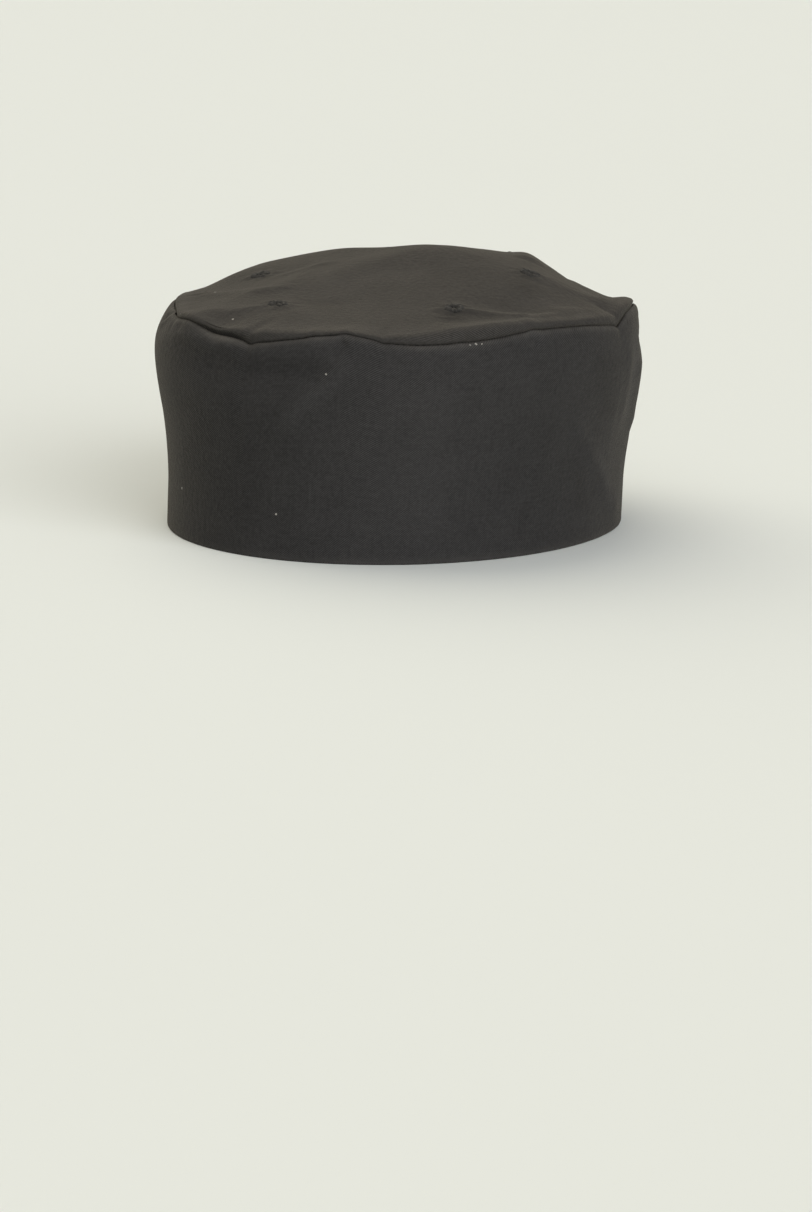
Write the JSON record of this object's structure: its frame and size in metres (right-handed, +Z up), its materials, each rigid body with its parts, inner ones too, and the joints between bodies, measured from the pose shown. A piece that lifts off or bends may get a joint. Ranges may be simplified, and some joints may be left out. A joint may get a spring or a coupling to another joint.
{
  "type": "skull cap",
  "caption": "Brimless woven twill skull cap with a tall upright band, a softly domed oval top panel and stitched vent eyelets.",
  "frame": {"origin": "bottom centre of the overall box: the middle of the oval hem, on the surface that the cap rests on", "axes": "+Y from the front of the cap to its back, +X towards the wearer's left, +Z up from the hem to the crown"},
  "size_m": [0.1734, 0.217, 0.1076],
  "materials": {
    "band_twill": "matte",
    "crown_twill": "matte",
    "eyelet_thread": "satin"
  },
  "bodies": {
    "root": {"side_band": "band_twill", "crown": "crown_twill", "vent_eyelet_front": "eyelet_thread", "vent_eyelet_front_left": "eyelet_thread", "vent_eyelet_back_left": "eyelet_thread", "vent_eyelet_back": "eyelet_thread", "vent_eyelet_back_right": "eyelet_thread", "vent_eyelet_front_right": "eyelet_thread"}
  },
  "joints": []
}
